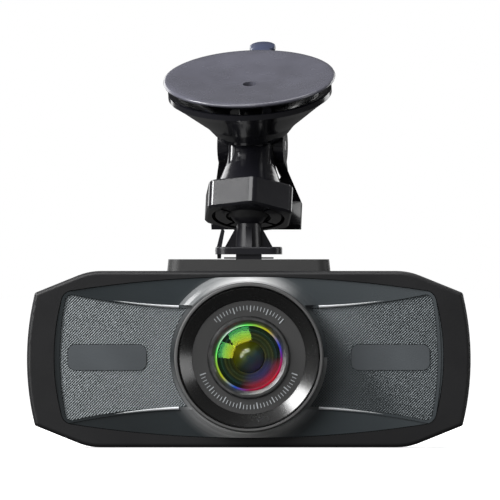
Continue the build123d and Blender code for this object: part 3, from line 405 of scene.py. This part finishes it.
finishes = {
    "shell": moulded("shell_plastic", (0.016, 0.016, 0.017), 0.42, grain=0.7, depth=0.02,
                     Specular_IOR_Level=0.4),
    "panel": panel_finish(),
    "wing_weave": moulded("wing_base", (0.016, 0.02, 0.022), 0.5),
    "badge": moulded("badge_plate", (0.09, 0.1, 0.108), 0.34, grain=0.5, depth=0.006, drift=0.2),
    "bezel": moulded("bezel_satin", grey(0.12), 0.32, grain=0.4, depth=0.004, Coat_Weight=0.3),
    "lens_dish": moulded("dish_gloss", grey(0.008), 0.27, grain=0.5, depth=0.001, Coat_Weight=0.5,
                         Coat_Roughness=0.2),
    "lens_scale": moulded("scale_satin", grey(0.07), 0.36, grain=0.35, depth=0.006),
    "lock_ring": metal("ring_anodised", grey(0.3), 0.32),
    "black_metal": barrel_finish(),
    "lens_glass": front_glass_finish(),
    "coated_glass": dome_finish(),
    "chip_black": moulded("chip_epoxy", grey(0.02), 0.5),
    "board_green": board_finish(),
    "connector_plastic": moulded("connector_nylon", (0.4, 0.36, 0.28), 0.5),
    "screw_steel": metal("screw_black", (0.12, 0.12, 0.125), 0.35),
    "bright_metal": metal("plated_steel", grey(0.5), 0.28),
    "battery_wrap": moulded("battery_foil", (0.35, 0.36, 0.38), 0.3),
    "sound_parts": moulded("speaker_coat", grey(0.03), 0.6),
    "screen_panel": moulded("display_black", (0.008, 0.008, 0.01), 0.2, depth=0.001),
    "screen_glass": glass("window_glass", (0.25, 0.26, 0.28), ior=1.49),
    "light_guide": glass("guide_glass", (0.85, 0.9, 0.86), rough=0.35),
    "key_plastic": moulded("key_satin", (0.035, 0.035, 0.037), 0.34, grain=0.5, depth=0.006),
    "plinth": moulded("plinth_matte", grey(0.03), 0.5, grain=0.7, depth=0.015),
    "foot_plastic": moulded("foot_satin", (0.014, 0.014, 0.017), 0.3, grain=0.8, depth=0.008),
    "liner": moulded("liner_slick", (0.02, 0.02, 0.021), 0.4),
    "mount_black": moulded("mount_gloss", (0.009, 0.009, 0.012), 0.2, grain=1.2, depth=0.004,
                           Coat_Weight=0.35),
    "pad_rubber": pad_finish(),
}
SHARP = 28.0  # degrees between faces, above which an edge stays sharp
SHARP_SOFT = 50.0
for name, obj in nodes.items():
    obj.data.materials.clear()
    obj.data.materials.append(finishes[slot_of[name]])
    obj.data.shade_smooth()
    sharp = SHARP_SOFT if name == "fascia_panel" else SHARP
    obj.data.set_sharp_from_angle(angle=math.radians(sharp))


# ---------------------------------------------------------------------- mesh helpers
def piece(name, mesh, finish, body, stands_for=(), smooth=SHARP):
    """Makes an object of a mesh, with its finish, that rides on a body if one is named."""
    obj = bpy.data.objects.new(name, mesh)
    bpy.context.scene.collection.objects.link(obj)
    mesh.materials.append(finish)
    mesh.shade_smooth()
    mesh.set_sharp_from_angle(angle=math.radians(smooth))
    if body:
        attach(obj, body)
    if stands_for:
        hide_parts(*stands_for)
    return obj


def as_mesh(name, bm):
    """Turns a finished bmesh into a mesh."""
    mesh = bpy.data.meshes.new(name)
    bm.to_mesh(mesh)
    bm.free()
    return mesh


def band(bm, a, b):
    """Faces between two closed rows of points."""
    for i in range(len(a)):
        j = (i + 1) % len(a)
        bm.faces.new((a[i], a[j], b[j], b[i]))


def lathe(name, profile, place, steps):
    """Closed ring of revolution about the Z of place, from (radius, height) points in metres."""
    bm = bmesh.new()
    rings = []
    for r, h in profile:
        ring = []
        for i in range(steps):
            a = 2 * math.pi * i / steps
            ring.append(bm.verts.new(place @ Vector((r * math.cos(a), r * math.sin(a), h))))
        rings.append(ring)
    for a, b in zip(rings, rings[1:] + rings[:1]):
        band(bm, a, b)
    bmesh.ops.recalc_face_normals(bm, faces=bm.faces)
    return as_mesh(name, bm)


# ------------------------------------------------------------------------------ wings
def wing_probe(node):
    """Function that says whether (x, z) lies on the front of a wing plate."""
    mesh = nodes[node].data
    tree = BVHTree.FromPolygons([v.co[:] for v in mesh.vertices],
                                [face.vertices[:] for face in mesh.polygons])
    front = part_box(node)[0].y

    def inside(x, z):
        hit = tree.ray_cast(Vector((x, front - 10 * MM, z)), Vector((0, 1, 0)), 20 * MM)
        return hit[0] is not None and abs(hit[0].y - front) < 0.02 * MM

    return inside, front


def weave(side):
    """Lattice of fine crossed threads over one wing plate."""
    node = "wing_inlay_" + side
    inside, front = wing_probe(node)
    low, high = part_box(node)
    pitch = 0.5 * MM
    half = 0.13 * MM
    rise = 0.09 * MM
    step = 0.12 * MM
    diagonal = math.sqrt(0.5)
    bm = bmesh.new()
    middle_x = (low.x + high.x) / 2
    middle_z = (low.z + high.z) / 2
    reach = math.hypot(high.x - low.x, high.z - low.z) / 2
    count = int(reach / pitch) + 1
    for slope in (1, -1):
        along = Vector((diagonal, 0, slope * diagonal))
        across = Vector((-slope * diagonal, 0, diagonal))
        lift = rise if slope == 1 else rise * 0.8
        for row in range(-count, count + 1):
            start = Vector((middle_x, 0, middle_z)) + across * row * pitch
            run = None
            for k in range(int(2 * reach / step) + 2):
                t = -reach + k * step
                p = start + along * t
                here = t <= reach and inside(p.x, p.z)
                if here and run is None:
                    run = t
                if not here and run is not None:
                    if t - run > 4 * step:
                        ends = (start + along * run, start + along * (t - step))
                        thread(bm, ends, across * half, front, lift)
                    run = None
    name = "weave_" + side
    piece(name, as_mesh(name, bm), weave_mat, "camera", smooth=60.0)


def thread(bm, ends, half, front, rise):
    """One straight thread: a low roof-shaped ridge whose foot is just inside the plate."""
    sink = 0.01 * MM
    a, b = [(
        bm.verts.new(((end + half).x, front + sink, (end + half).z)),
        bm.verts.new((end.x, front - rise, end.z)),
        bm.verts.new(((end - half).x, front + sink, (end - half).z)),
    ) for end in ends]
    bm.faces.new((a[0], a[1], b[1], b[0]))
    bm.faces.new((a[1], a[2], b[2], b[1]))
    bm.faces.new((a[2], a[0], b[0], b[2]))
    bm.faces.new((a[0], a[2], a[1]))
    bm.faces.new((b[0], b[1], b[2]))


def edge_beads(side):
    """Beads along the upper and lower edges of one wing, bright as a painted highlight, thinner away from the
    lens.
    """
    low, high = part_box("wing_inlay_" + side)
    sign = -1 if side == "left" else 1
    inside, front = wing_probe("wing_inlay_" + side)
    centre = lens_centre.z
    start_height = 12.7 * MM  # where the wing's edge leaves the flare, above or below the lens axis
    outer = max(abs(low.x), abs(high.x)) - 2.6 * MM
    inner = math.sqrt(flare_r ** 2 - start_height ** 2)
    steps = 30
    halvings = 22
    for word, upper in (("upper", 1), ("lower", -1)):
        curve = bpy.data.curves.new(f"bead_{side}_{word}", "CURVE")
        curve.dimensions = "3D"
        curve.bevel_depth = 1.0 * MM
        curve.bevel_resolution = 4
        curve.use_fill_caps = True
        spline = curve.splines.new("POLY")
        spline.points.add(steps)
        for i, point in enumerate(spline.points):
            share = i / steps
            x = sign * (inner + (outer - inner) * share)
            on_wing, off_wing = 6 * MM, 22 * MM
            for _ in range(halvings):
                between = (on_wing + off_wing) / 2
                if inside(x, centre + upper * between):
                    on_wing = between
                else:
                    off_wing = between
            point.co = (x, front - 0.02 * MM, centre + upper * (off_wing + 0.34 * MM), 1)
            point.radius = 0.4 - 0.28 * share
        obj = bpy.data.objects.new(curve.name, curve)
        bpy.context.scene.collection.objects.link(obj)
        curve.materials.append(bead_mat)
        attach(obj, "camera")


weave_mat = weave_finish()
bead_mat = bead_finish()
for side in ("left", "right"):
    weave(side)
    edge_beads(side)


# ------------------------------------------------------------------------------- lens
def index_marks():
    """Plain index marks round the flat ring, where a lens carries its scale."""
    low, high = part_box("lens_scale_ring")
    front = low.y
    outer = (high.x - low.x) / 2
    bm = bmesh.new()
    for first, last, count in ((48.0, 132.0, 22), (200.0, 340.0, 36)):
        for i in range(count):
            long = i % 5 == 0
            r0 = outer - (2.75 if long else 2.3) * MM
            r1 = outer - 1.2 * MM
            half = (0.13 if long else 0.09) * MM
            angle = first + (last - first) * i / (count - 1)
            turn = Matrix.Rotation(math.radians(angle), 3, "Z")
            rows = []
            for y in (front + 0.1 * MM, front - 0.04 * MM):
                row = []
                for r, s in ((r0, -half), (r1, -half), (r1, half), (r0, half)):
                    p = turn @ Vector((r, s, 0))
                    row.append(bm.verts.new((p.x, y, lens_centre.z + p.y)))
                rows.append(row)
            band(bm, *rows)
            bm.faces.new(rows[1])
            bm.faces.new(rows[0][::-1])
    bmesh.ops.recalc_face_normals(bm, faces=bm.faces)
    piece("index_marks", as_mesh("index_marks", bm), mark_mat, "camera")


def glass_rim():
    """Thin bevelled edge round the front glass, carrying a painted rainbow reflection of its coating."""
    low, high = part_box("front_lens")
    edge = (high.x - low.x) / 2
    apex = -low.y
    rise = 2.8 * MM  # how far the glass domes forward
    curve = (edge ** 2 + rise ** 2) / (2 * rise)
    profile = []
    # radius, and height over the glass's curve, in mm
    for r, lift in ((7.86, 0.01), (7.95, 0.06), (8.1, 0.08),
                    (8.25, 0.06), (8.33, 0.01), (8.1, -0.02)):
        r = r * MM
        height = apex - curve + math.sqrt(curve ** 2 - r ** 2)
        profile.append((r, height + lift * MM))
    mesh = lathe("glass_rim", profile, lens_axis, 160)
    piece("glass_rim", mesh, rim_finish(), "camera")


mark_mat = moulded("mark_paint", (0.5, 0.53, 0.55), 0.45, drift=0.15)
index_marks()
glass_rim()


# -------------------------------------------------------------------------------- pad
def suction_pad():
    """Dished soft disc with a thin lip and a centre hole, over the bowl of the neck."""
    hole_r = 1.7  # in mm, like every radius here
    dish_width = 18.0
    dish_depth = 1.9 * MM
    steps = 24
    profile = [(hole_r * MM, rim_u - dish_depth + 0.05 * MM)]
    for i in range(1, steps + 1):
        share = i / steps
        drop = dish_depth * (1 - share) ** 1.35 * (1 + share * 0.9)
        profile.append(((hole_r + dish_width * share) * MM, rim_u - drop))
    # the lip and the underside: radius, and depth below the rim, in mm
    for r, depth in ((20.3, 0), (20.9, 0.03), (21.25, 0.2), (21.4, 0.5), (21.25, 0.85),
                     (20.6, 1.05), (19.2, 1.35), (18.2, 2.2), (16.0, 3.0), (12.0, 3.5),
                     (8.2, 3.6), (8.1, 3.3), (hole_r, 3.3)):
        profile.append((r * MM, rim_u - depth * MM))
    mesh = lathe("suction_pad_soft", profile, cup, 192)
    return piece("suction_pad_soft", mesh, finishes["pad_rubber"], None, ["suction_pad"],
                 SHARP_SOFT)


def pull_tab():
    """Flat rounded tab at the pad's back edge."""
    neck_half = 2.4 * MM
    head_r = 3.25 * MM
    head_y = 25.2 * MM
    root_y = 19.6 * MM
    steps = 24
    join = math.asin(neck_half / head_r)
    outline = [(neck_half, root_y)]
    for i in range(steps + 1):
        a = -math.pi / 2 + join + (2 * math.pi - 2 * join) * i / steps
        outline.append((head_r * math.cos(a), head_y + head_r * math.sin(a)))
    outline.append((-neck_half, root_y))
    middle_u = rim_u - 0.9 * MM
    centre = Vector((0, 23.0 * MM))
    bm = bmesh.new()
    rows = []
    # rounded edge: how far each row is drawn in, and its height from the tab's middle, in mm
    for inset, h in ((0.35, -0.68), (0.08, -0.5), (0.0, -0.2),
                     (0.0, 0.2), (0.08, 0.5), (0.35, 0.68)):
        row = []
        for point in outline:
            out = Vector(point) - centre
            drawn = Vector(point) - out.normalized() * inset * MM
            row.append(bm.verts.new(cup @ Vector((drawn.x, drawn.y, middle_u + h * MM))))
        rows.append(row)
    for a, b in zip(rows, rows[1:]):
        band(bm, a, b)
    bm.faces.new(rows[0][::-1])
    bm.faces.new(rows[-1])
    bmesh.ops.recalc_face_normals(bm, faces=bm.faces)
    piece("pull_tab", as_mesh("pull_tab", bm), tab_mat, "neck",
          smooth=SHARP_SOFT)


tab_mat = moulded("tab_vinyl", (0.05, 0.06, 0.11), 0.3, depth=0.004, Coat_Weight=0.3)
pad = suction_pad()
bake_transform(pad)
pull_tab()


# ------------------------------------------------------------------ floor, light, view
def flat_square(name, size, height, finish):
    """Plain square for the floor."""
    mesh = bpy.data.meshes.new(name)
    h = size / 2
    mesh.from_pydata([(-h, -h, 0), (h, -h, 0), (h, h, 0), (-h, h, 0)], [], [(0, 1, 2, 3)])
    mesh.materials.append(finish)
    obj = bpy.data.objects.new(name, mesh)
    obj.matrix_world = Matrix.Translation((0, 0, height))
    bpy.context.scene.collection.objects.link(obj)


def floor_finish():
    """White paper that fades into the backdrop, and is dark to the light that falls on the object."""
    n = Nodes("floor_paper")
    n.link(n.ramp(n.noise(40.0, 2.0), (0.3, grey(0.88)), (0.7, grey(0.9))),
           n.shader.inputs["Base Color"])
    far = n.add("ShaderNodeVectorMath", operation="LENGTH")
    n.link(n.coords, far.inputs[0])
    n.link(n.span(far.outputs["Value"], 0.72, 1.0, 0.1, 0.5), n.shader.inputs["Emission Strength"])
    n.shader.inputs["Emission Color"].default_value = (1, 1, 1, 1)
    n.put(Roughness=0.9)
    dark = n.add("ShaderNodeBsdfDiffuse")
    dark.inputs["Color"].default_value = (0.07, 0.07, 0.07, 1)
    seen = n.add("ShaderNodeLightPath").outputs["Is Camera Ray"]
    mix = n.add("ShaderNodeMixShader")
    n.link(seen, mix.inputs[0])
    n.link(dark.outputs[0], mix.inputs[1])
    n.link(n.shader.outputs[0], mix.inputs[2])
    n.link(mix.outputs[0], n.tree.nodes["Material Output"].inputs["Surface"])
    return n.material


flat_square("floor", 30.0, -0.2 * MM, floor_finish())


def studio_world():
    """Backdrop that is white to the camera and lights the object only gently."""
    world = bpy.data.worlds.new("studio")
    bpy.context.scene.world = world
    world.use_nodes = True
    tree = world.node_tree
    dim = tree.nodes["Background"]
    dim.inputs["Color"].default_value = (1, 1, 1, 1)
    dim.inputs["Strength"].default_value = 0.1
    white = tree.nodes.new("ShaderNodeBackground")
    white.inputs["Color"].default_value = (1, 1, 1, 1)
    white.inputs["Strength"].default_value = 1.0
    path = tree.nodes.new("ShaderNodeLightPath")
    mix = tree.nodes.new("ShaderNodeMixShader")
    tree.links.new(path.outputs["Is Camera Ray"], mix.inputs[0])
    tree.links.new(dim.outputs[0], mix.inputs[1])
    tree.links.new(white.outputs[0], mix.inputs[2])
    tree.links.new(mix.outputs[0], tree.nodes["World Output"].inputs["Surface"])
    bpy.context.scene.view_settings.view_transform = "Standard"


studio_world()


def softbox(name, off_axis, clock, distance, radial, wide, power):
    """Soft light facing the lens, placed by its angle off the lens axis and its turn about it."""
    tilt = math.radians(off_axis)
    turn = math.radians(clock)
    out = Vector((math.cos(turn), 0, math.sin(turn)))
    away = out * math.sin(tilt) + Vector((0, -1, 0)) * math.cos(tilt)
    radial_axis = out * math.cos(tilt) + Vector((0, 1, 0)) * math.sin(tilt)
    light = bpy.data.lights.new(name, "AREA")
    light.shape = "RECTANGLE"
    light.size = wide
    light.size_y = radial
    light.energy = power
    obj = bpy.data.objects.new(name, light)
    turned = Matrix((radial_axis.cross(away), radial_axis, away)).transposed().to_4x4()
    obj.matrix_world = Matrix.Translation(Vector((0, 0, lens_centre.z)) + away * distance) @ turned
    bpy.context.scene.collection.objects.link(obj)


softbox("window_upper", 47, 112, 0.8, 0.44, 0.55, 3.4)
softbox("window_left", 47, 164, 0.8, 0.44, 0.4, 2.4)
softbox("dish_light", 77, 140, 0.8, 0.24, 0.3, 5.5)
softbox("right_light", 78, 2, 0.8, 0.25, 0.5, 1.3)
softbox("top_light", 97, 80, 0.8, 0.3, 0.5, 1.6)
softbox("back_left_light", 140, 150, 0.9, 0.5, 0.7, 2.8)
softbox("back_right_light", 140, 25, 0.9, 0.4, 0.6, 1.6)


def photo_camera():
    """Long lens straight in front, with the case filling most of the frame's width."""
    case_low, case_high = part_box("front_shell")
    case_share = 0.888  # the case's width as a share of the frame's
    frame_width = (case_high.x - case_low.x) / case_share
    distance = 5.0
    data = bpy.data.cameras.new("photo_camera")
    data.sensor_width = 36.0
    data.lens = data.sensor_width * distance / frame_width
    data.clip_start = 0.05
    data.clip_end = 60.0
    obj = bpy.data.objects.new("photo_camera", data)
    obj.location = (0.3 * MM, case_low.y - distance, 48.9 * MM)
    obj.rotation_euler = (math.radians(90), 0, 0)
    bpy.context.scene.collection.objects.link(obj)
    bpy.context.scene.camera = obj


photo_camera()
